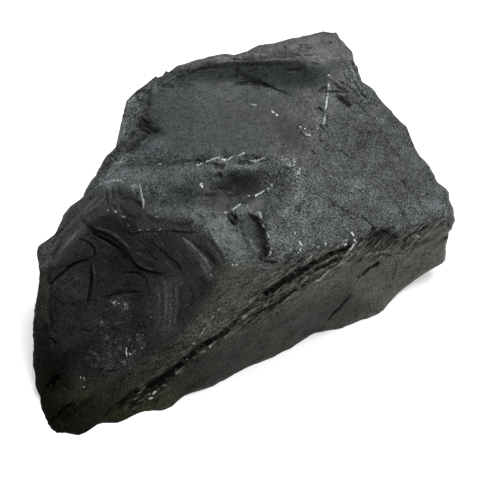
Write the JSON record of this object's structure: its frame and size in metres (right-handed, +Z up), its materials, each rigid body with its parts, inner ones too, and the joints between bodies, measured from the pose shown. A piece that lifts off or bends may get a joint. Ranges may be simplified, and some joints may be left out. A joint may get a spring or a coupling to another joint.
{
  "type": "shungite specimen",
  "caption": "Raw black stone broken along flat and shell-shaped faces, lying on its levelled underside; a display specimen.",
  "frame": {"origin": "on the surface the stone rests on, under the middle of its bounding box", "axes": "+X along the long front face towards the blunt high end, +Y from the front face to the back, +Z up"},
  "size_m": [0.2152, 0.1178, 0.1097],
  "materials": {
    "shungite": "raw broken carbon rock: matt olive black on the front faces, slaty grey-black with a faint metallic sheen on the roof, pale mineral grains and a thin white vein"
  },
  "bodies": {
    "root": {"shungite_stone": "shungite"}
  },
  "joints": []
}
